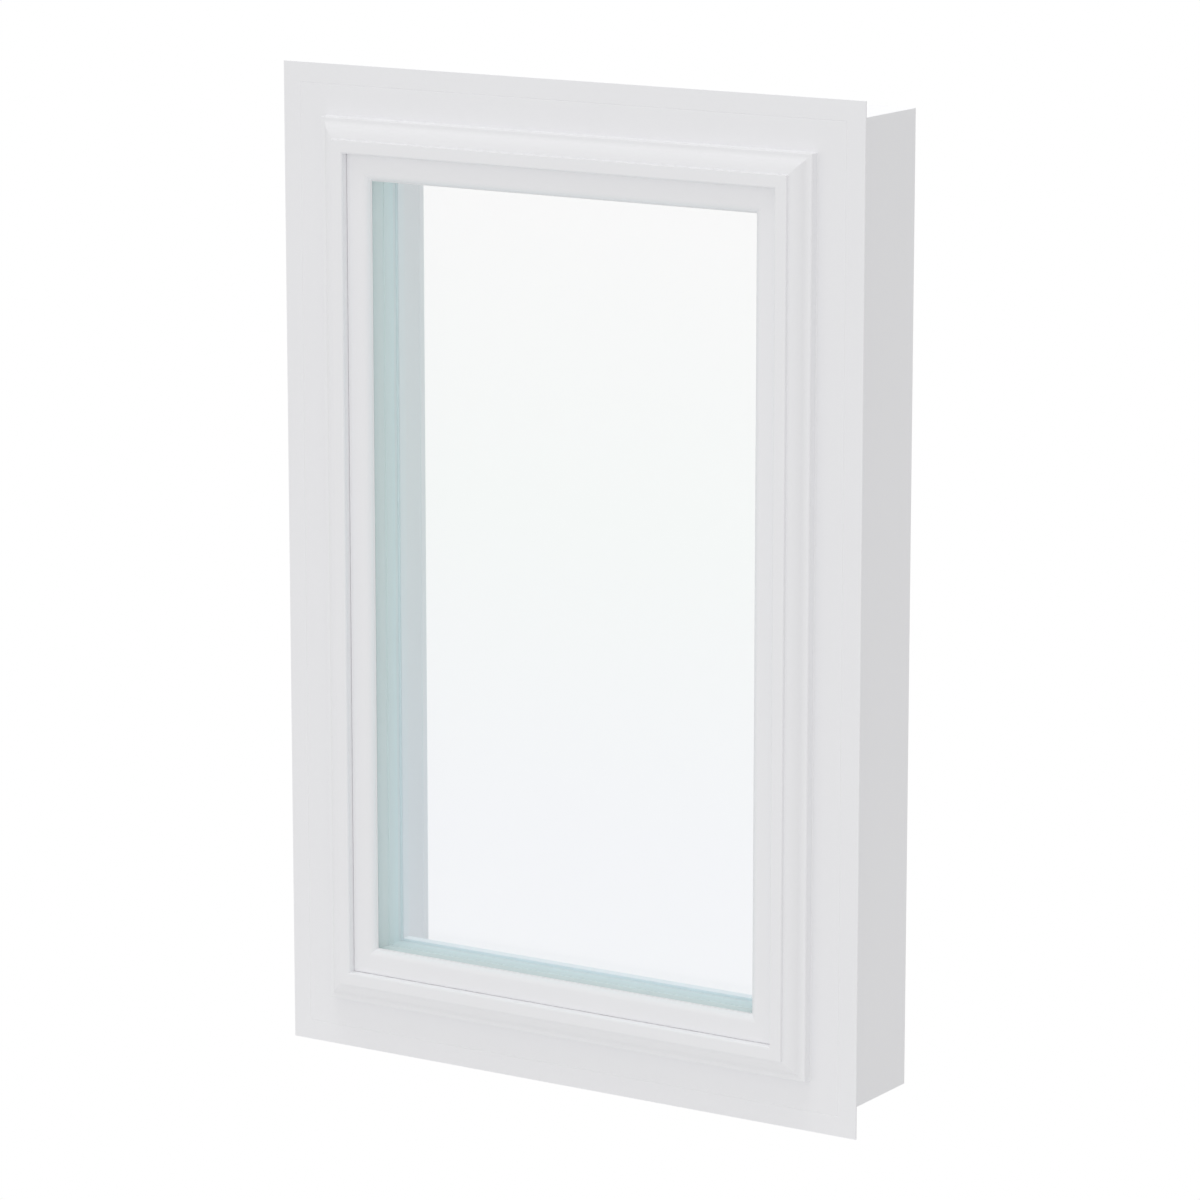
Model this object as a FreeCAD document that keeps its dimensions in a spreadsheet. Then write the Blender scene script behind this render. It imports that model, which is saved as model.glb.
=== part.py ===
import FreeCAD, Part
import os
import Sketcher

# Fixed picture window: a mitred hollow frame with an integral nailing flange and exterior moulding,
# snap-in glazing beads and a triple sealed glass unit. Millimetres.
# +X runs along the sill, +Y from the street side to the room side, +Z up.
# The origin lies on the back face of the sill's nailing flange, at mid-width and mid-strip.

SIZES = {
    "overall_width": 596.9,
    "overall_height": 901.7,
    # Nailing flange and jamb
    "flange_overhang": 18.2,
    "flange_thickness": 1.6,
    "jamb_depth": 115.9,
    "score_width": 1.0,
    "score_depth": 0.4,
    # Exterior moulding: insets from the flange edge, rises from the flange front
    "step_inset": 46.4,
    "step_foot_radius": 1.2,
    "fillet_rise": 8.8,
    "fillet_width": 2.4,
    "ogee_width": 15.5,
    "ogee_rise": 8.5,
    "ogee_foot_radius": 4.5,
    "ridge_width": 0.2,
    "ridge_rise": 2.4,
    "ridge_radius": 0.5,
    "face_width": 11.3,
    "face_radius": 1.8,
    # Extrusion walls
    "wall": 2.4,
    "web": 1.8,
    "rear_edge_radius": 0.8,
    # Glazing bead and its seat
    "bead_gap": 0.25,
    "bead_width": 22.95,
    "bead_face_drop": 7.2,
    "bead_edge_radius": 0.6,
    "bead_flank_width": 6.8,
    "bead_flank_drop": 4.7,
    "bead_wall": 1.6,
    "bead_leg": 1.4,
    "bead_leg_length": 7.0,
    "bead_leg_clearance": 0.2,
    "barb_reach": 0.8,
    "barb_height": 2.0,
    "shelf_rise": 7.0,
    # Soft lip between bead and glass
    "gasket_thickness": 0.8,
    "gasket_lip": 0.8,
    "gasket_width": 10.0,
    # Sealed glass unit
    "pane_thickness": 3.2,
    "airspace": 14.0,
    "glass_bite": 12.7,
    "spacer_height": 7.0,
    "spacer_setback": 2.0,
    "spacer_groove": 0.8,
    "block_height": 3.2,
    "block_length": 100.0,
    "tape_thickness": 1.0,
    "tape_width": 9.0,
    # Room-side stop and reveal
    "stop_width": 11.8,
    "stop_front_radius": 0.8,
    "stop_rear_radius": 2.0,
    "reveal_width": 51.6,
    "reveal_radius": 4.0,
    "kerf_distance": 8.8,
    "kerf_width": 1.2,
    "kerf_depth": 1.0,
}

# Places that several pieces share, written with the sizes above.
# An inset is measured in from the flange's outer edge, a depth back from the flange's front face.
PLACES = {
    "jamb_back": "flange_thickness + jamb_depth",
    "ogee_start": "step_inset + fillet_width",
    "ogee_end": "ogee_start + ogee_width",
    "ogee_top": "fillet_rise + ogee_rise",
    "face_start": "ogee_end + ridge_width + ridge_radius",
    "face_top": "ogee_top + ridge_rise + ridge_radius",
    "face_end": "face_start + face_width",
    "bead_start": "face_end + bead_gap",
    "bead_end": "bead_start + bead_width",
    "bead_top": "face_top - bead_face_drop",
    "sight_line": "bead_end + gasket_lip",
    "bead_bottom": "bead_top - bead_flank_drop",
    "glass_front": "bead_bottom - gasket_thickness",
    "glass_edge": "sight_line - glass_bite",
    "rebate_floor": "glass_edge - block_height",
    "middle_pane_front": "pane_thickness + airspace - glass_front",
    "inner_pane_front": "middle_pane_front + pane_thickness + airspace",
    "glass_back": "inner_pane_front + pane_thickness",
    "stop_front": "glass_back + tape_thickness",
    "stop_back": "stop_front + stop_width",
    "spacer_end": "sight_line - spacer_setback",
    "middle_pane_edge": "spacer_end - spacer_groove",
    "reveal_inset": "flange_overhang + reveal_width",
    "kerf_back": "jamb_back - kerf_distance + kerf_width",
    "kerf_front": "jamb_back - kerf_distance",
    "leg_inset": "bead_start + bead_wall",
    "leg_end": "leg_inset + bead_leg",
    "leg_tip": "bead_leg_length - shelf_rise",
    "flange_middle": "flange_overhang / 2",
    "middle_web": "( flange_overhang + rebate_floor ) / 2",
    "rear_web": "( stop_back + jamb_back ) / 2",
    "ogee_spread": "ogee_width ^ 2 + ogee_rise ^ 2",
    "ogee_turn_in": "2 * ogee_foot_radius * ogee_rise * ogee_width / ogee_spread",
    "ogee_turn_up": "2 * ogee_foot_radius * ogee_rise ^ 2 / ogee_spread",
    "ogee_crown_radius": "ogee_spread / ( 2 * ogee_rise ) - ogee_foot_radius",
    "bead_flank_radius": "( bead_flank_width ^ 2 + bead_flank_drop ^ 2 ) / ( 2 * bead_flank_drop )",
}

# The side of an arc on which its centre lies, going along the outline
LEFT = 1
RIGHT = -1

document = FreeCAD.newDocument("PictureWindow")
sheet = document.addObject("Spreadsheet::Sheet", "Sizes")


def fill_sheet():
    """One row for each size and each shared place: its name, then its value or formula."""
    row = 0
    for name, value in list(SIZES.items()) + list(PLACES.items()):
        row += 1
        sheet.set("A%d" % row, name)
        sheet.set("B%d" % row, "=" + value if name in PLACES else str(value))
        sheet.setAlias("B%d" % row, name)
    document.recompute()


def in_sheet(text):
    """The formula as an expression: each size's name led by the name of the sheet."""
    words = []
    for word in text.split():
        words.append("Sizes." + word if word in SIZES or word in PLACES else word)
    return " ".join(words)


def number(sketch, text):
    return float(sketch.evalExpression(in_sheet(text)))


def new_sketch(body, name, role):
    sketch = body.newObject("Sketcher::SketchObject", name)
    plane = [feature for feature in body.Origin.OriginFeatures if feature.Role == role][0]
    sketch.AttachmentSupport = (plane, [""])
    sketch.MapMode = "FlatFace"
    return sketch


def end_at(sketch, geometry, spot):
    """Which end of a sketch line or arc lies on the spot: 1 its start, 2 its end."""
    starts_there = sketch.getPoint(geometry, 1).distanceToPoint(spot) < 1e-6
    return 1 if starts_there else 2


def draw_loop(sketch, corners):
    """Draws a closed outline and binds it to the sheet. A corner is (x, y), or (x, y, side, radius) where
    an arc ends: side is LEFT or RIGHT, where the arc's centre lies on the way along the outline."""
    spots = [FreeCAD.Vector(number(sketch, corner[0]), number(sketch, corner[1]), 0) for corner in corners]
    first = sketch.GeometryCount
    constraints = []
    formulas = []
    for index, corner in enumerate(corners):
        start, end = spots[index - 1], spots[index]
        if len(corner) == 2:
            sketch.addGeometry(Part.LineSegment(start, end))
            continue
        radius = number(sketch, corner[3])
        chord = end - start
        aside = FreeCAD.Vector(-chord.y, chord.x, 0).normalize() * corner[2]
        bulge = radius - (radius ** 2 - chord.Length ** 2 / 4) ** 0.5
        sketch.addGeometry(Part.Arc(start, (start + end) / 2 - aside * bulge, end))
        constraints.append(Sketcher.Constraint("Radius", first + index, radius))
        formulas.append(corner[3])
    for index, corner in enumerate(corners):
        spot = spots[index]
        here = first + index
        following = first + (index + 1) % len(corners)
        end = end_at(sketch, here, spot)
        for kind, text, value in (("DistanceX", corner[0], spot.x), ("DistanceY", corner[1], spot.y)):
            constraints.append(Sketcher.Constraint(kind, -1, 1, here, end, value))
            formulas.append(text)
        start_of_next = end_at(sketch, following, spot)
        constraints.append(Sketcher.Constraint("Coincident", here, end, following, start_of_next))
        formulas.append(None)
    held = sketch.addConstraint(constraints)
    for constraint, formula in zip(held, formulas):
        if formula is not None:
            sketch.setExpression("Constraints[%d]" % constraint, in_sheet(formula))


def rectangle(front, back, near, far):
    """An outline from depth front to back and from inset near to far."""
    return [(front, near), (front, far), (back, far), (back, near)]


def frame_outline():
    """The extrusion's outer outline, as (depth, inset), from the flange's tip along the street side."""
    return [
        ("0", "0"),
        ("0", "flange_overhang - score_width / 2"),
        ("score_depth", "flange_overhang"),
        ("0", "flange_overhang + score_width / 2"),
        ("0", "step_inset - step_foot_radius"),
        ("- step_foot_radius", "step_inset", LEFT, "step_foot_radius"),
        ("- fillet_rise", "step_inset"),
        ("- fillet_rise", "ogee_start"),
        ("- fillet_rise - ogee_turn_up", "ogee_start + ogee_turn_in", LEFT, "ogee_foot_radius"),
        ("- ogee_top", "ogee_end", RIGHT, "ogee_crown_radius"),
        ("- ogee_top - ridge_rise", "ogee_end + ridge_width"),
        ("- face_top", "face_start", RIGHT, "ridge_radius"),
        ("- face_top", "face_end - face_radius"),
        ("face_radius - face_top", "face_end", RIGHT, "face_radius"),
        ("- shelf_rise", "face_end"),
        ("- shelf_rise", "leg_inset - bead_leg_clearance"),
        ("leg_tip - barb_height - bead_leg_clearance", "leg_inset - bead_leg_clearance"),
        ("leg_tip - barb_height - bead_leg_clearance", "leg_inset - bead_leg_clearance - barb_reach"),
        ("leg_tip + bead_leg_clearance", "leg_inset - bead_leg_clearance - barb_reach"),
        ("leg_tip + bead_leg_clearance", "leg_end + bead_leg_clearance"),
        ("- shelf_rise", "leg_end + bead_leg_clearance"),
        ("- shelf_rise", "rebate_floor"),
        ("stop_front", "rebate_floor"),
        ("stop_front", "sight_line - stop_front_radius"),
        ("stop_front + stop_front_radius", "sight_line", RIGHT, "stop_front_radius"),
        ("stop_back - stop_rear_radius", "sight_line"),
        ("stop_back", "sight_line - stop_rear_radius", RIGHT, "stop_rear_radius"),
        ("stop_back", "reveal_inset + reveal_radius"),
        ("stop_back + reveal_radius", "reveal_inset", LEFT, "reveal_radius"),
        ("kerf_front", "reveal_inset"),
        ("kerf_front + kerf_width / 2", "reveal_inset - kerf_depth"),
        ("kerf_back", "reveal_inset"),
        ("jamb_back - rear_edge_radius", "reveal_inset"),
        ("jamb_back", "reveal_inset - rear_edge_radius", RIGHT, "rear_edge_radius"),
        ("jamb_back", "flange_overhang"),
        ("flange_thickness", "flange_overhang"),
        ("flange_thickness", "0"),
    ]


def frame_chambers():
    """The hollow chambers that the walls and webs of the extrusion leave."""
    moulding = [
        ("wall - web", "step_inset + wall"),
        ("wall - fillet_rise", "step_inset + wall"),
        ("wall - ogee_top", "ogee_end"),
        ("wall - face_top", "face_start + wall"),
        ("wall - face_top", "face_end - wall"),
        ("wall - web", "face_end - wall"),
    ]
    outer = "flange_overhang + wall"
    return [
        moulding,
        rectangle("wall", "stop_back - wall", outer, "middle_web - web / 2"),
        rectangle("wall", "stop_back - wall", "middle_web + web / 2", "rebate_floor - wall"),
        rectangle("stop_front + wall", "stop_back - wall", "rebate_floor", "sight_line - wall"),
        rectangle("stop_back - wall + web", "rear_web - web / 2", outer, "reveal_inset - wall"),
        rectangle("rear_web + web / 2", "jamb_back - wall", outer, "reveal_inset - wall"),
    ]


def bead_outline():
    """The glazing bead: a flat face, a rounded flank to the glass and a barbed leg in the frame's slot."""
    return [
        ("bead_edge_radius - bead_top", "bead_start"),
        ("- bead_top", "bead_start + bead_edge_radius", RIGHT, "bead_edge_radius"),
        ("- bead_top", "bead_end - bead_flank_width"),
        ("- bead_bottom", "bead_end", RIGHT, "bead_flank_radius"),
        ("- bead_bottom", "rebate_floor"),
        ("- shelf_rise", "rebate_floor"),
        ("- shelf_rise", "leg_end"),
        ("leg_tip", "leg_end"),
        ("leg_tip", "leg_inset"),
        ("leg_tip - barb_height", "leg_inset - barb_reach"),
        ("leg_tip - barb_height", "leg_inset"),
        ("- shelf_rise", "leg_inset"),
        ("- shelf_rise", "bead_start"),
    ]


def bead_chamber():
    inner_radius = "bead_flank_radius - bead_wall"
    inner_height = "bead_flank_radius + bead_wall - bead_flank_drop"
    reach = "sqrt( ( %s ) ^ 2 - ( %s ) ^ 2 )" % (inner_radius, inner_height)
    return [
        ("- bead_bottom - bead_wall", "bead_start + bead_wall"),
        ("bead_wall - bead_top", "bead_start + bead_wall"),
        ("bead_wall - bead_top", "bead_end - bead_flank_width"),
        ("- bead_bottom - bead_wall", "bead_end - bead_flank_width + " + reach, RIGHT, inner_radius),
    ]


def gasket_outline():
    """The soft lip: a flat strip whose free corner is rounded."""
    return [
        ("- bead_bottom", "sight_line - gasket_width"),
        ("- bead_bottom", "sight_line - gasket_thickness / 2"),
        ("gasket_thickness / 2 - bead_bottom", "sight_line", RIGHT, "gasket_thickness / 2"),
        ("- glass_front", "sight_line"),
        ("- glass_front", "sight_line - gasket_width"),
    ]


# The four sides: name, the turn about Y that points the inset inwards, the size along the side,
# and where the flange's outer edge of that side lies.
SIDES = [
    ("head", 180, "overall_width", "0", "overall_height - flange_middle"),
    ("sill", 0, "overall_width", "0", "- flange_middle"),
    ("left", 90, "overall_height", "- overall_width / 2", "overall_height / 2 - flange_middle"),
    ("right", -90, "overall_height", "overall_width / 2", "overall_height / 2 - flange_middle"),
]


def add_bar(name, side, loops):
    """One side of a mitred rectangle: the outline is extruded along the side, and both ends are cut at
    45 degrees, along lines that run through the corners of the flange."""
    turn, length, edge_x, edge_z = side
    body = document.addObject("PartDesign::Body", name)
    body.Label = name
    outline = new_sketch(body, name + "_outline", "YZ_Plane")
    for loop in loops:
        draw_loop(outline, loop)
    document.recompute()
    pad = body.newObject("PartDesign::Pad", name + "_pad")
    pad.Profile = outline
    pad.SideType = "Symmetric"
    pad.setExpression("Length", in_sheet(length))
    document.recompute()
    uncut = pad.Shape.Volume
    mitres = new_sketch(body, name + "_mitres", "XZ_Plane")
    deep = "( sight_line + flange_overhang )"
    half = length + " / 2"
    draw_loop(mitres, [
        (half + " + flange_overhang", "- flange_overhang"),
        (half + " + flange_overhang", deep),
        (half + " - " + deep, deep),
    ])
    draw_loop(mitres, [
        ("- " + half + " - flange_overhang", "- flange_overhang"),
        ("- " + half + " - flange_overhang", deep),
        ("- " + half + " + " + deep, deep),
    ])
    document.recompute()
    pocket = body.newObject("PartDesign::Pocket", name + "_mitre_cut")
    pocket.Profile = mitres
    pocket.Type = "ThroughAll"
    pocket.SideType = "Symmetric"
    document.recompute()
    if not pocket.Shape.Volume < uncut:
        raise RuntimeError("the mitres of %s cut nothing" % name)
    body.Placement = FreeCAD.Placement(
        FreeCAD.Vector(0, 0, 0), FreeCAD.Rotation(FreeCAD.Vector(0, 1, 0), turn))
    body.setExpression("Placement.Base.x", in_sheet(edge_x))
    body.setExpression("Placement.Base.y", in_sheet("- flange_thickness"))
    body.setExpression("Placement.Base.z", in_sheet(edge_z))
    parts.append(body)


def add_ring(names, loops):
    """Four mitred bars with one outline. names gives the node's name for each side."""
    for side, name in zip(SIDES, names):
        add_bar(name, side[1:], loops)


def add_block(name, length, width, height, x, y, z):
    """A plain block from its lowest corner."""
    block = document.addObject("Part::Box", name)
    block.Label = name
    for target, text in (
        ("Length", length), ("Width", width), ("Height", height),
        ("Placement.Base.x", x), ("Placement.Base.y", y), ("Placement.Base.z", z),
    ):
        block.setExpression(target, in_sheet(text))
    parts.append(block)


def add_frame():
    names = ["frame_head", "frame_sill", "frame_jamb_left", "frame_jamb_right"]
    add_ring(names, [frame_outline()] + frame_chambers())


def add_beads():
    add_ring(["glazing_bead_" + side[0] for side in SIDES], [bead_outline(), bead_chamber()])
    add_ring(["bead_gasket_" + side[0] for side in SIDES], [gasket_outline()])


def spacer_outline():
    """One bar across both air spaces, grooved along the top where the middle pane sits."""
    return [
        ("pane_thickness - glass_front", "spacer_end - spacer_height"),
        ("pane_thickness - glass_front", "spacer_end"),
        ("middle_pane_front", "spacer_end"),
        ("middle_pane_front", "middle_pane_edge"),
        ("middle_pane_front + pane_thickness", "middle_pane_edge"),
        ("middle_pane_front + pane_thickness", "spacer_end"),
        ("inner_pane_front", "spacer_end"),
        ("inner_pane_front", "spacer_end - spacer_height"),
    ]


def add_pane(name, front, edge):
    add_block(name, "overall_width - 2 * " + edge, "pane_thickness", "overall_height - 2 * " + edge,
              edge + " - overall_width / 2", front + " - flange_thickness", edge + " - flange_middle")


def add_glass_unit():
    """Three panes, the spacer between them and tape against the room-side stop."""
    add_pane("outer_pane", "- glass_front", "glass_edge")
    add_pane("middle_pane", "middle_pane_front", "middle_pane_edge")
    add_pane("inner_pane", "inner_pane_front", "glass_edge")
    add_ring(["spacer_" + side[0] for side in SIDES], [spacer_outline()])
    tape = rectangle("glass_back", "stop_front", "spacer_end - tape_width", "spacer_end")
    add_ring(["glazing_tape_" + side[0] for side in SIDES], [tape])


def add_setting_blocks():
    """Two blocks at the quarter points carry the glass unit on the sill rebate."""
    for name, quarter in (("setting_block_left", "- 1"), ("setting_block_right", "1")):
        middle = quarter + " * ( overall_width - 2 * glass_edge ) / 4"
        add_block(name, "block_length", "glass_back + glass_front", "block_height",
                  middle + " - block_length / 2", "- glass_front - flange_thickness",
                  "rebate_floor - flange_middle")


def check_and_export():
    document.recompute()
    for thing in document.Objects:
        if "Invalid" in thing.State or "Error" in thing.State:
            raise RuntimeError("%s failed: %s" % (thing.Label, thing.State))
    for part in parts:
        if part.Shape.isNull() or not part.Shape.isValid() or len(part.Shape.Solids) != 1:
            raise RuntimeError("%s is not one sound solid" % part.Label)
    os.makedirs("parts", exist_ok=True)
    for part in parts:
        part.Shape.exportStep("parts/%s.step" % part.Label)
        print("%s %.1f mm3" % (part.Label, part.Shape.Volume))


parts = []
fill_sheet()
add_frame()
add_beads()
add_glass_unit()
add_setting_blocks()
check_and_export()
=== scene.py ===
import math

import bpy
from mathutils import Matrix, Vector


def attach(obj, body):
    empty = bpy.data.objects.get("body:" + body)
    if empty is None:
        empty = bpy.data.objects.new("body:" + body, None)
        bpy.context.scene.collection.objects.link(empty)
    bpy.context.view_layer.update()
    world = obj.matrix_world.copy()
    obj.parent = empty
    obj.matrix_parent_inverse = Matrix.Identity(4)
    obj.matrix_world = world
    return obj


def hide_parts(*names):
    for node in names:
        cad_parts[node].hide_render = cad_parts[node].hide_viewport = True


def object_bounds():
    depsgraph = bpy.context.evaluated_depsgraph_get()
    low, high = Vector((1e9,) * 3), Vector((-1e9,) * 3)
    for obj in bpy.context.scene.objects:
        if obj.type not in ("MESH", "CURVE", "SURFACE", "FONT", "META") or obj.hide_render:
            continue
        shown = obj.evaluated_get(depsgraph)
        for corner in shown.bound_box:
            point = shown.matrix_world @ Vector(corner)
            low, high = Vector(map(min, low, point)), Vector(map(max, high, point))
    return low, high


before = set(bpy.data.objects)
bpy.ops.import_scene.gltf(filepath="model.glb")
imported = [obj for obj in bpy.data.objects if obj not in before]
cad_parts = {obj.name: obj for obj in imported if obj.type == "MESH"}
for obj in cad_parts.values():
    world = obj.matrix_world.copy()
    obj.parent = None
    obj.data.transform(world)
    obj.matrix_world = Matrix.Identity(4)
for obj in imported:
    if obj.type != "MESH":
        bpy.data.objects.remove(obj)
cad_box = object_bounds()

# Sizes in millimetres. An inset is measured in from the flange's outer edge, a depth back from the
# flange's street face; what stands out towards the street has a negative depth.
OVERALL_WIDTH, OVERALL_HEIGHT = 596.9, 901.7
FLANGE_OVERHANG, FLANGE_THICKNESS, JAMB_DEPTH = 18.2, 1.6, 115.9
SCORE_WIDTH, SCORE_DEPTH = 1.0, 0.4
STEP_INSET, STEP_FOOT_RADIUS = 46.4, 1.2
FILLET_RISE, FILLET_WIDTH, FILLET_RADIUS = 8.8, 2.4, 0.9
OGEE_WIDTH, OGEE_RISE, OGEE_FOOT_RADIUS = 15.5, 8.5, 4.5
RIDGE_WIDTH, RIDGE_RISE, RIDGE_RADIUS = 0.2, 2.4, 0.5
FACE_WIDTH, FACE_RADIUS = 11.3, 1.8
BEAD_GAP, BEAD_WIDTH, BEAD_FACE_DROP = 0.25, 22.95, 7.2
BEAD_EDGE_RADIUS, BEAD_FLANK_WIDTH, BEAD_FLANK_DROP = 0.6, 6.8, 4.7
GASKET_THICKNESS, GASKET_LIP, GASKET_WIDTH = 0.8, 0.8, 10.0
PANE_THICKNESS, AIRSPACE, GLASS_BITE = 3.2, 14.0, 12.7
SPACER_HEIGHT, SPACER_SETBACK, SPACER_GROOVE = 7.0, 2.0, 0.8
TAPE_THICKNESS, TAPE_WIDTH, TAPE_REACH, TAPE_GAP = 1.0, 9.0, 3.1, 0.35
SHELF_RISE, BLOCK_HEIGHT = 7.0, 3.2
STOP_WIDTH, STOP_REAR_RADIUS = 11.8, 2.0
STOP_LIP, STOP_LINE_WIDTH, STOP_LINE_DEPTH = 0.2, 0.7, 2.0
REVEAL_WIDTH, REVEAL_RADIUS, REAR_EDGE_RADIUS = 51.6, 4.0, 0.8
KERF_DISTANCE, KERF_WIDTH, KERF_DEPTH = 8.8, 1.2, 1.0

JAMB_BACK = FLANGE_THICKNESS + JAMB_DEPTH
OGEE_START = STEP_INSET + FILLET_WIDTH
OGEE_END = OGEE_START + OGEE_WIDTH
OGEE_TOP = FILLET_RISE + OGEE_RISE
FACE_START = OGEE_END + RIDGE_WIDTH + RIDGE_RADIUS
FACE_TOP = OGEE_TOP + RIDGE_RISE + RIDGE_RADIUS
FACE_END = FACE_START + FACE_WIDTH
BEAD_START = FACE_END + BEAD_GAP
BEAD_END = BEAD_START + BEAD_WIDTH
BEAD_TOP = FACE_TOP - BEAD_FACE_DROP
BEAD_BOTTOM = BEAD_TOP - BEAD_FLANK_DROP
SIGHT_LINE = BEAD_END + GASKET_LIP
GLASS_FRONT = BEAD_BOTTOM - GASKET_THICKNESS
GLASS_EDGE = SIGHT_LINE - GLASS_BITE
REBATE_FLOOR = GLASS_EDGE - BLOCK_HEIGHT
MIDDLE_PANE_FRONT = PANE_THICKNESS + AIRSPACE - GLASS_FRONT
INNER_PANE_FRONT = MIDDLE_PANE_FRONT + PANE_THICKNESS + AIRSPACE
GLASS_BACK = INNER_PANE_FRONT + PANE_THICKNESS
STOP_FRONT = GLASS_BACK + TAPE_THICKNESS
STOP_BACK = STOP_FRONT + STOP_WIDTH
REVEAL_INSET = FLANGE_OVERHANG + REVEAL_WIDTH
KERF_FRONT = JAMB_BACK - KERF_DISTANCE
FLANGE_MIDDLE = FLANGE_OVERHANG / 2
SPACER_END = SIGHT_LINE - SPACER_SETBACK

EDGE_EASE, EASE_ROOM, SEAL_GAP = 0.25, 2.2, -0.03
ARC_STEP, SHARP_ANGLE = math.radians(7), math.radians(160)
SIDES = ("head", "sill", "left", "right")
LEFT, RIGHT = 1, -1


# Outlines across a side of the window


def traced(corners):
    """The points of a closed outline. A corner is (depth, inset), or (depth, inset, side, radius)
    where an arc ends, whose centre is on that side of the way."""
    points = []
    for index, corner in enumerate(corners):
        end = Vector(corner[:2])
        if len(corner) == 4:
            start = Vector(corners[index - 1][:2])
            side, radius = corner[2:]
            chord = end - start
            across = Vector((-chord.y, chord.x)).normalized() * side
            reach = math.sqrt(max(radius ** 2 - chord.length ** 2 / 4, 0))
            centre = (start + end) / 2 + across * reach
            arm = start - centre
            turn = side * 2 * math.asin(min(chord.length / 2 / radius, 1))
            steps = max(2, math.ceil(abs(turn) / ARC_STEP))
            for step in range(1, steps):
                angle = turn * step / steps
                cosine, sine = math.cos(angle), math.sin(angle)
                turned = (arm.x * cosine - arm.y * sine, arm.x * sine + arm.y * cosine)
                points.append(centre + Vector(turned))
        points.append(end)
    return points


def eased(points, ease=EDGE_EASE):
    """The outline with each sharp corner rounded off by a curve of that size, where both edges that
    meet there leave room for it."""
    made = []
    for index, point in enumerate(points):
        before = points[index - 1] - point
        after = points[(index + 1) % len(points)] - point
        sharp = before.angle(after) < SHARP_ANGLE
        if not sharp or min(before.length, after.length) < EASE_ROOM * ease:
            made.append(point)
            continue
        first = point + before.normalized() * ease
        last = point + after.normalized() * ease
        for share in (0, 0.25, 0.5, 0.75, 1):
            rest = 1 - share
            made.append(first * rest ** 2 + point * 2 * share * rest + last * share ** 2)
    return made


def frame_outline():
    slope = OGEE_RISE / OGEE_WIDTH
    sine = 2 * slope / (1 + slope ** 2)
    turn_in, turn_up = OGEE_FOOT_RADIUS * sine, OGEE_FOOT_RADIUS * sine * slope
    crown_radius = OGEE_WIDTH / sine - OGEE_FOOT_RADIUS
    return [
        (0, 0),
        (0, FLANGE_OVERHANG - SCORE_WIDTH / 2),
        (SCORE_DEPTH, FLANGE_OVERHANG),
        (0, FLANGE_OVERHANG + SCORE_WIDTH / 2),
        (0, STEP_INSET - STEP_FOOT_RADIUS),
        (-STEP_FOOT_RADIUS, STEP_INSET, LEFT, STEP_FOOT_RADIUS),
        (FILLET_RADIUS - FILLET_RISE, STEP_INSET),
        (-FILLET_RISE, STEP_INSET + FILLET_RADIUS, RIGHT, FILLET_RADIUS),
        (-FILLET_RISE, OGEE_START),
        (-FILLET_RISE - turn_up, OGEE_START + turn_in, LEFT, OGEE_FOOT_RADIUS),
        (-OGEE_TOP, OGEE_END, RIGHT, crown_radius),
        (-OGEE_TOP - RIDGE_RISE, OGEE_END + RIDGE_WIDTH),
        (-FACE_TOP, FACE_START, RIGHT, RIDGE_RADIUS),
        (-FACE_TOP, FACE_END - FACE_RADIUS),
        (FACE_RADIUS - FACE_TOP, FACE_END, RIGHT, FACE_RADIUS),
        (-SHELF_RISE, FACE_END),
        (-SHELF_RISE, REBATE_FLOOR),
        (STOP_FRONT, REBATE_FLOOR),
        (STOP_FRONT, SIGHT_LINE),
        (STOP_FRONT + STOP_LIP, SIGHT_LINE),
        (STOP_FRONT + STOP_LIP, SIGHT_LINE - STOP_LINE_DEPTH),
        (STOP_FRONT + STOP_LIP + STOP_LINE_WIDTH, SIGHT_LINE - STOP_LINE_DEPTH),
        (STOP_FRONT + STOP_LIP + STOP_LINE_WIDTH, SIGHT_LINE),
        (STOP_BACK - STOP_REAR_RADIUS, SIGHT_LINE),
        (STOP_BACK, SIGHT_LINE - STOP_REAR_RADIUS, RIGHT, STOP_REAR_RADIUS),
        (STOP_BACK, REVEAL_INSET + REVEAL_RADIUS),
        (STOP_BACK + REVEAL_RADIUS, REVEAL_INSET, LEFT, REVEAL_RADIUS),
        (KERF_FRONT, REVEAL_INSET),
        (KERF_FRONT + KERF_WIDTH / 2, REVEAL_INSET - KERF_DEPTH),
        (KERF_FRONT + KERF_WIDTH, REVEAL_INSET),
        (JAMB_BACK - REAR_EDGE_RADIUS, REVEAL_INSET),
        (JAMB_BACK, REVEAL_INSET - REAR_EDGE_RADIUS, RIGHT, REAR_EDGE_RADIUS),
        (JAMB_BACK, FLANGE_OVERHANG),
        (FLANGE_THICKNESS, FLANGE_OVERHANG),
        (FLANGE_THICKNESS, 0),
    ]


def bead_outline():
    flank_radius = (BEAD_FLANK_WIDTH ** 2 + BEAD_FLANK_DROP ** 2) / (2 * BEAD_FLANK_DROP)
    return [
        (BEAD_EDGE_RADIUS - BEAD_TOP, BEAD_START),
        (-BEAD_TOP, BEAD_START + BEAD_EDGE_RADIUS, RIGHT, BEAD_EDGE_RADIUS),
        (-BEAD_TOP, BEAD_END - BEAD_FLANK_WIDTH),
        (-BEAD_BOTTOM, BEAD_END, RIGHT, flank_radius),
        (-BEAD_BOTTOM, REBATE_FLOOR),
        (-SHELF_RISE, REBATE_FLOOR),
        (-SHELF_RISE, BEAD_START),
    ]


def gasket_outline():
    radius = GASKET_THICKNESS / 2
    return [
        (-BEAD_BOTTOM, SIGHT_LINE - GASKET_WIDTH),
        (-BEAD_BOTTOM, SIGHT_LINE - radius),
        (radius - BEAD_BOTTOM, SIGHT_LINE, RIGHT, radius),
        (-GLASS_FRONT, SIGHT_LINE),
        (-GLASS_FRONT, SIGHT_LINE - GASKET_WIDTH),
    ]


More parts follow.
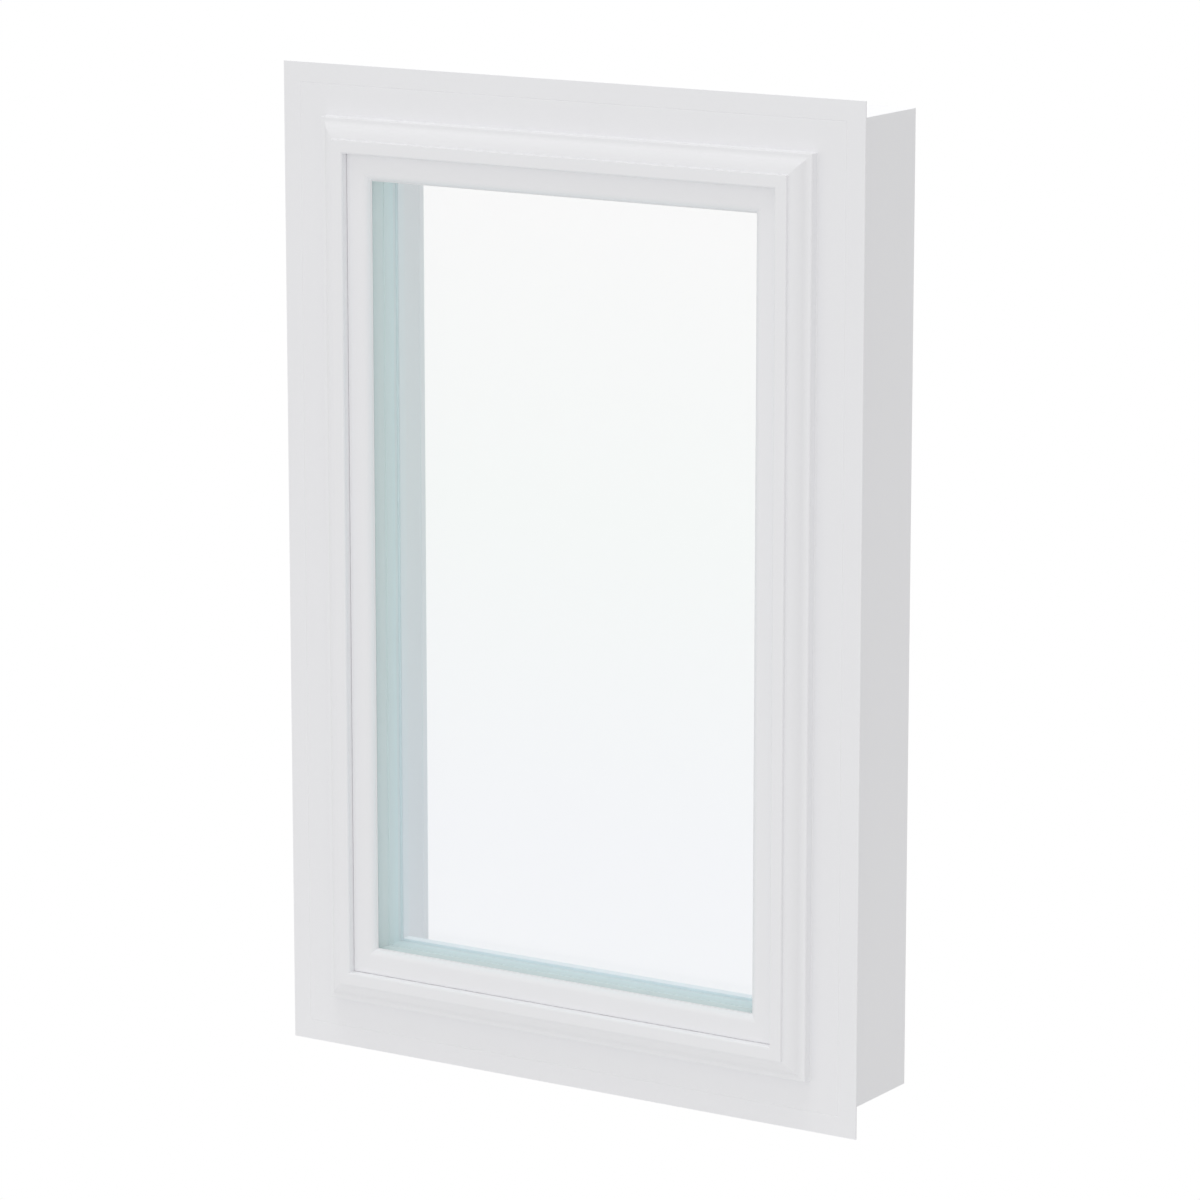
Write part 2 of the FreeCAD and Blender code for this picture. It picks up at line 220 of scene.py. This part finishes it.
def spacer_outline():
    """One bar across both air spaces, with a groove for the middle pane."""
    front, back = PANE_THICKNESS - GLASS_FRONT + SEAL_GAP, INNER_PANE_FRONT - SEAL_GAP
    groove_front = MIDDLE_PANE_FRONT - SEAL_GAP
    groove_back = MIDDLE_PANE_FRONT + PANE_THICKNESS + SEAL_GAP
    groove_floor = SPACER_END - SPACER_GROOVE - SEAL_GAP
    return [
        (front, SPACER_END - SPACER_HEIGHT),
        (front, SPACER_END),
        (groove_front, SPACER_END),
        (groove_front, groove_floor),
        (groove_back, groove_floor),
        (groove_back, SPACER_END),
        (back, SPACER_END),
        (back, SPACER_END - SPACER_HEIGHT),
    ]


def tape_outline():
    """The tape reaches into the clear edge of the pane, which carries light down to it."""
    front, back = GLASS_BACK - TAPE_REACH, STOP_FRONT - TAPE_GAP
    return [
        (front, SPACER_END - TAPE_WIDTH),
        (front, SPACER_END),
        (back, SPACER_END),
        (back, SPACER_END - TAPE_WIDTH),
    ]


# Pieces


def place(side, depth, inset):
    """The two ends, in metres, of the line that a point of the outline draws along one side."""
    across, tall = OVERALL_WIDTH / 2 - inset, OVERALL_HEIGHT - FLANGE_MIDDLE - inset
    low, y = inset - FLANGE_MIDDLE, depth - FLANGE_THICKNESS
    ends = {
        "head": ((-across, y, tall), (across, y, tall)),
        "sill": ((-across, y, low), (across, y, low)),
        "left": ((-across, y, low), (-across, y, tall)),
        "right": ((across, y, low), (across, y, tall)),
    }[side]
    return [Vector(end) / 1000 for end in ends]


def mitred_bar(name, node, side, points, material):
    """One side of the rectangle, cut at 45 degrees at both ends, in place of its CAD node."""
    starts, ends = zip(*(place(side, point.x, point.y) for point in points))
    count = len(points)
    faces = [(i, (i + 1) % count, count + (i + 1) % count, count + i) for i in range(count)]
    faces += [tuple(reversed(range(count))), tuple(range(count, 2 * count))]
    if side in ("head", "right"):
        faces = [tuple(reversed(face)) for face in faces]
    mesh = bpy.data.meshes.new(name)
    mesh.from_pydata([*starts, *ends], [], faces)
    mesh.polygons.foreach_set("use_smooth", [True] * len(faces))
    for edge in mesh.edges:
        first, second = edge.vertices
        edge.use_edge_sharp = (first < count) == (second < count)
    bar = bpy.data.objects.new(name, mesh)
    bpy.context.scene.collection.objects.link(bar)
    mesh.materials.append(material)
    shading = bar.modifiers.new("flat_faces", "WEIGHTED_NORMAL")
    shading.keep_sharp = True
    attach(bar, "root")
    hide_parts(node)
    return bar


def ring(prefix, corners, material, ease=EDGE_EASE):
    """The four bars of one outline. The prefix names each with its side, as the CAD nodes do."""
    points = eased(traced(corners), ease)
    bars = []
    for side in SIDES:
        node = prefix + side
        if prefix == "frame_" and side in ("left", "right"):
            node = "frame_jamb_" + side
        bars.append(mitred_bar(node + "_finish", node, side, points, material))
    return bars


# Materials


def new_material(name):
    material = bpy.data.materials.new(name)
    material.use_nodes = True
    return material, material.node_tree.nodes, material.node_tree.links


def noise(nodes, links, scale, detail):
    """Noise in the part's own metres."""
    place_in_metres = nodes.new("ShaderNodeTexCoord")
    pattern = nodes.new("ShaderNodeTexNoise")
    pattern.inputs["Scale"].default_value = scale
    pattern.inputs["Detail"].default_value = detail
    links.new(place_in_metres.outputs["Object"], pattern.inputs["Vector"])
    return pattern


def spread(nodes, links, pattern, low, high):
    """The noise mapped to run from low to high."""
    mapped = nodes.new("ShaderNodeMapRange")
    mapped.inputs["From Min"].default_value, mapped.inputs["From Max"].default_value = NOISE_RANGE
    mapped.inputs["To Min"].default_value = low
    mapped.inputs["To Max"].default_value = high
    links.new(pattern.outputs["Fac"], mapped.inputs["Value"])
    return mapped


def tinted(nodes, links, pattern, colour, shift):
    """The colour, a little darker and lighter with the noise."""
    mix = nodes.new("ShaderNodeMix")
    mix.data_type = "RGBA"
    mix.inputs["A"].default_value = (*[c * (1 - shift) for c in colour], 1)
    mix.inputs["B"].default_value = (*[min(c * (1 + shift), 1) for c in colour], 1)
    links.new(pattern.outputs["Fac"], mix.inputs["Factor"])
    return mix


def satin(name, colour, shift, roughness, grain, grain_height):
    """A smooth plastic or rubber: faint colour drift, uneven gloss and a fine moulded grain."""
    material, nodes, links = new_material(name)
    shader = nodes["Principled BSDF"]
    drift = noise(nodes, links, scale=9, detail=3)
    base = tinted(nodes, links, drift, colour, shift)
    links.new(base.outputs["Result"], shader.inputs["Base Color"])
    fine = noise(nodes, links, scale=grain, detail=4)
    links.new(spread(nodes, links, fine, *roughness).outputs["Result"], shader.inputs["Roughness"])
    bump = nodes.new("ShaderNodeBump")
    bump.inputs["Strength"].default_value = GRAIN_STRENGTH
    bump.inputs["Distance"].default_value = grain_height
    links.new(fine.outputs["Fac"], bump.inputs["Height"])
    links.new(bump.outputs["Normal"], shader.inputs["Normal"])
    return material


def share_along(nodes, links, axis, start, end):
    """0 to 1 between two places, in metres, along one axis of the part."""
    place_in_metres = nodes.new("ShaderNodeTexCoord")
    axes = nodes.new("ShaderNodeSeparateXYZ")
    links.new(place_in_metres.outputs["Object"], axes.inputs["Vector"])
    share = nodes.new("ShaderNodeMapRange")
    share.inputs["From Min"].default_value = start
    share.inputs["From Max"].default_value = end
    links.new(axes.outputs[axis], share.inputs["Value"])
    return share.outputs["Result"]


def paint_light_towards_room(material, colour, front, back):
    """Blends the material's colour into another between two depths; used to paint light on the room
    side of the spacer.
    """
    nodes, links = material.node_tree.nodes, material.node_tree.links
    base = nodes["Principled BSDF"].inputs["Base Color"]
    start, end = ((depth - FLANGE_THICKNESS) / 1000 for depth in (front, back))
    mix = nodes.new("ShaderNodeMix")
    mix.data_type = "RGBA"
    links.new(base.links[0].from_socket, mix.inputs["A"])
    mix.inputs["B"].default_value = (*colour, 1)
    links.new(share_along(nodes, links, "Y", start, end), mix.inputs["Factor"])
    links.new(mix.outputs["Result"], base)


def tint_and_painted_shade_by_height(nodes, links):
    """The glass tint with painted shade: clearer towards the head, bluer and darker towards the
    sill.
    """
    ramp = nodes.new("ShaderNodeValToRGB")
    ramp.color_ramp.elements.new(0.5)
    for element, tint in zip(ramp.color_ramp.elements, GLASS_TINTS_AND_PAINTED_SHADE):
        element.color = (*tint, 1)
    links.new(share_along(nodes, links, "Z", *GLASS_TINT_HEIGHTS), ramp.inputs["Fac"])
    return ramp


def clear_glass():
    """Clear float glass: what is behind it shows through, faintly tinted at each face, under a
    reflection that grows towards grazing angles, alike at the front and the back of a pane. A
    trace of dust dulls the reflection. Light on its way to or from a matt surface loses some red
    and gains a trace of green and blue, so what the glass covers stays bright and cool."""
    material, nodes, links = new_material("clear_glass")
    nodes.remove(nodes["Principled BSDF"])
    film = noise(nodes, links, scale=14, detail=4)
    through = nodes.new("ShaderNodeBsdfTransparent")
    mirror = nodes.new("ShaderNodeBsdfGlossy")
    dulling = spread(nodes, links, film, low=0, high=0.03)
    links.new(dulling.outputs["Result"], mirror.inputs["Roughness"])
    side = nodes.new("ShaderNodeNewGeometry")
    bend = nodes.new("ShaderNodeMapRange")
    bend.inputs["To Min"].default_value = GLASS_IOR
    bend.inputs["To Max"].default_value = 1 / GLASS_IOR
    links.new(side.outputs["Backfacing"], bend.inputs["Value"])
    angle = nodes.new("ShaderNodeFresnel")
    links.new(bend.outputs["Result"], angle.inputs["IOR"])
    ray = nodes.new("ShaderNodeLightPath")
    lit = nodes.new("ShaderNodeMath")
    lit.operation = "MAXIMUM"
    links.new(ray.outputs["Is Shadow Ray"], lit.inputs[0])
    links.new(ray.outputs["Is Diffuse Ray"], lit.inputs[1])
    colour = nodes.new("ShaderNodeMix")
    colour.data_type = "RGBA"
    colour.inputs["B"].default_value = (*GLASS_LIGHT_TINT, 1)
    links.new(lit.outputs["Value"], colour.inputs["Factor"])
    # The see-through colour carries painted shade, darker and bluer towards the sill.
    links.new(tint_and_painted_shade_by_height(nodes, links).outputs["Color"], colour.inputs["A"])
    links.new(colour.outputs["Result"], through.inputs["Color"])
    share = nodes.new("ShaderNodeMath")
    share.operation = "SUBTRACT"
    share.use_clamp = True
    links.new(angle.outputs["Fac"], share.inputs[0])
    links.new(lit.outputs["Value"], share.inputs[1])
    both = nodes.new("ShaderNodeMixShader")
    links.new(share.outputs["Value"], both.inputs["Fac"])
    links.new(through.outputs["BSDF"], both.inputs[1])
    links.new(mirror.outputs["BSDF"], both.inputs[2])
    links.new(both.outputs["Shader"], nodes["Material Output"].inputs["Surface"])
    return material


NOISE_RANGE = (0.3, 0.7)
GRAIN_STRENGTH = 0.35
VINYL = (0.95, 0.95, 0.967)
# Glass tints low, middle and high. Their change with height is painted shade, darker and bluer low
# down.
GLASS_TINTS_AND_PAINTED_SHADE = ((0.992, 0.9945, 0.9987), (0.9938, 0.9983, 0.9968), (1, 1, 1))
GLASS_TINT_HEIGHTS = (0.22, 0.8)
GLASS_IOR = 1.5
GLASS_LIGHT_TINT = (0.965, 1.002, 1.007)
GASKET_COLOUR = (0.88, 0.88, 0.89)
SPACER_COLOUR = (0.81, 0.85, 0.84)
# Painted light: the spacer's room-side half is lighter, where more light reaches it.
SPACER_PAINTED_LIGHT_COLOUR = (0.9, 0.97, 0.975)
SPACER_FADE_LEAD = 3
TAPE_COLOUR = (0.93, 0.95, 0.945)
BLOCK_COLOUR = (0.06, 0.06, 0.065)

vinyl = satin("white_vinyl", VINYL, shift=0.006, roughness=(0.38, 0.46),
              grain=900, grain_height=0.00001)
bead_vinyl = satin("white_bead_vinyl", VINYL, shift=0.006, roughness=(0.36, 0.44),
                   grain=900, grain_height=0.00001)
gasket_rubber = satin("gasket_rubber", GASKET_COLOUR, shift=0.02, roughness=(0.5, 0.6),
                      grain=1500, grain_height=0.00003)
spacer_foam = satin("spacer_foam", SPACER_COLOUR, shift=0.02, roughness=(0.6, 0.75),
                    grain=2500, grain_height=0.00008)
# Painted light: the spacer turns lighter towards the room side.
paint_light_towards_room(spacer_foam, SPACER_PAINTED_LIGHT_COLOUR,
                     front=MIDDLE_PANE_FRONT - SPACER_FADE_LEAD, back=INNER_PANE_FRONT)
tape_foam = satin("tape_foam", TAPE_COLOUR, shift=0.02, roughness=(0.7, 0.8),
                  grain=2500, grain_height=0.00008)
block_rubber = satin("block_rubber", BLOCK_COLOUR, shift=0.05, roughness=(0.5, 0.65),
                     grain=1500, grain_height=0.00005)
glass = clear_glass()

frame_bars = ring("frame_", frame_outline(), vinyl)
ring("glazing_bead_", bead_outline(), bead_vinyl)
ring("bead_gasket_", gasket_outline(), gasket_rubber, ease=0.08)
ring("spacer_", spacer_outline(), spacer_foam, ease=0.1)
ring("glazing_tape_", tape_outline(), tape_foam, ease=0.1)

for node, material in (
    ("outer_pane", glass), ("middle_pane", glass), ("inner_pane", glass),
    ("setting_block_left", block_rubber), ("setting_block_right", block_rubber),
):
    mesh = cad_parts[node].data
    mesh.materials.clear()
    mesh.materials.append(material)


# Stage: a pale floor, an even white surround and the camera


def add_floor():
    """A pale floor that lights the part from below and looks even white, without a shadow."""
    level = cad_box[0].z - FLOOR_DROP
    corners = ((-1, -1), (1, -1), (1, 1), (-1, 1))
    mesh = bpy.data.meshes.new("floor")
    points = [(x * FLOOR_REACH, y * FLOOR_REACH, level) for x, y in corners]
    mesh.from_pydata(points, [], [(0, 1, 2, 3)])
    floor = bpy.data.objects.new("floor", mesh)
    bpy.context.scene.collection.objects.link(floor)
    material, nodes, links = new_material("pale_floor")
    shader = nodes["Principled BSDF"]
    drift = noise(nodes, links, scale=2, detail=2)
    colour = tinted(nodes, links, drift, FLOOR_COLOUR, shift=0.004)
    links.new(colour.outputs["Result"], shader.inputs["Base Color"])
    gloss = spread(nodes, links, drift, low=0.75, high=0.85)
    links.new(gloss.outputs["Result"], shader.inputs["Roughness"])
    shader.inputs["Specular IOR Level"].default_value = 0.1
    shader.inputs["Emission Color"].default_value = (1, 1, 1, 1)
    shader.inputs["Emission Strength"].default_value = FLOOR_GLOW
    white = nodes.new("ShaderNodeEmission")
    ray = nodes.new("ShaderNodeLightPath")
    both = nodes.new("ShaderNodeMixShader")
    links.new(ray.outputs["Is Diffuse Ray"], both.inputs["Fac"])
    links.new(white.outputs["Emission"], both.inputs[1])
    links.new(shader.outputs["BSDF"], both.inputs[2])
    links.new(both.outputs["Shader"], nodes["Material Output"].inputs["Surface"])
    material.cycles.emission_sampling = "NONE"
    mesh.materials.append(material)


def add_surround():
    """Soft light from all round, stronger from the street side, with a white backdrop."""
    world = bpy.data.worlds.new("soft_studio")
    bpy.context.scene.world = world
    world.use_nodes = True
    nodes, links = world.node_tree.nodes, world.node_tree.links
    direction = nodes.new("ShaderNodeTexCoord")
    lean = nodes.new("ShaderNodeVectorMath")
    lean.operation = "DOT_PRODUCT"
    lean.inputs[1].default_value = SURROUND_LEAN
    links.new(direction.outputs["Generated"], lean.inputs[0])
    rise = nodes.new("ShaderNodeMath")
    rise.operation = "MAXIMUM"
    rise.inputs[1].default_value = 0
    links.new(lean.outputs["Value"], rise.inputs[0])
    level = nodes.new("ShaderNodeMath")
    level.operation = "ADD"
    level.inputs[1].default_value = SURROUND_LEVEL
    links.new(rise.outputs["Value"], level.inputs[0])
    ray = nodes.new("ShaderNodeLightPath")
    backdrop = nodes.new("ShaderNodeMath")
    backdrop.operation = "MAXIMUM"
    links.new(level.outputs["Value"], backdrop.inputs[0])
    links.new(ray.outputs["Is Camera Ray"], backdrop.inputs[1])
    links.new(backdrop.outputs["Value"], nodes["Background"].inputs["Strength"])
    nodes["Background"].inputs["Color"].default_value = (1, 1, 1, 1)


def add_light(name, strength, tilt, breadth):
    """A soft light from far off, tilted that many degrees from above towards the street side."""
    light = bpy.data.lights.new(name, "SUN")
    light.energy = strength
    light.angle = math.radians(breadth)
    holder = bpy.data.objects.new(name, light)
    holder.rotation_euler = (math.radians(tilt), 0, 0)
    bpy.context.scene.collection.objects.link(holder)
    return holder


def light_only(holder, pieces):
    """Keeps a light to those pieces."""
    reach = bpy.data.collections.new(holder.name + "_reach")
    for piece in pieces:
        reach.objects.link(piece)
    holder.light_linking.receiver_collection = reach


def add_camera():
    camera = bpy.data.cameras.new("camera")
    camera.sensor_width = 36
    camera.lens = CAMERA_LENS
    camera.clip_start, camera.clip_end = 0.05, 200
    holder = bpy.data.objects.new("camera", camera)
    holder.location = CAMERA_PLACE
    holder.rotation_euler = (math.radians(90 - CAMERA_PITCH), 0, math.radians(CAMERA_YAW))
    bpy.context.scene.collection.objects.link(holder)
    bpy.context.scene.camera = holder


FLOOR_REACH, FLOOR_DROP = 40.0, 0.0005
FLOOR_COLOUR = (0.25, 0.25, 0.25)
FLOOR_GLOW = 0.5
SURROUND_LEVEL = 0.52
SURROUND_LEAN = (0, -0.436, 0)
CAMERA_PLACE = (2.53885, -3.92016, 1.40473)
CAMERA_YAW, CAMERA_PITCH, CAMERA_LENS = 32.570, 11.731, 162.86

add_floor()
add_surround()
add_light("overhead_light", strength=0.54, tilt=12, breadth=30)
light_only(add_light("back_light", strength=0.78, tilt=-30, breadth=8), frame_bars)
light_only(add_light("head_light", strength=0.64, tilt=-30, breadth=8), frame_bars[:1])
add_camera()
bpy.context.scene.view_settings.view_transform = "Standard"
bpy.context.scene.cycles.max_bounces = 24
bpy.context.scene.cycles.transparent_max_bounces = 32
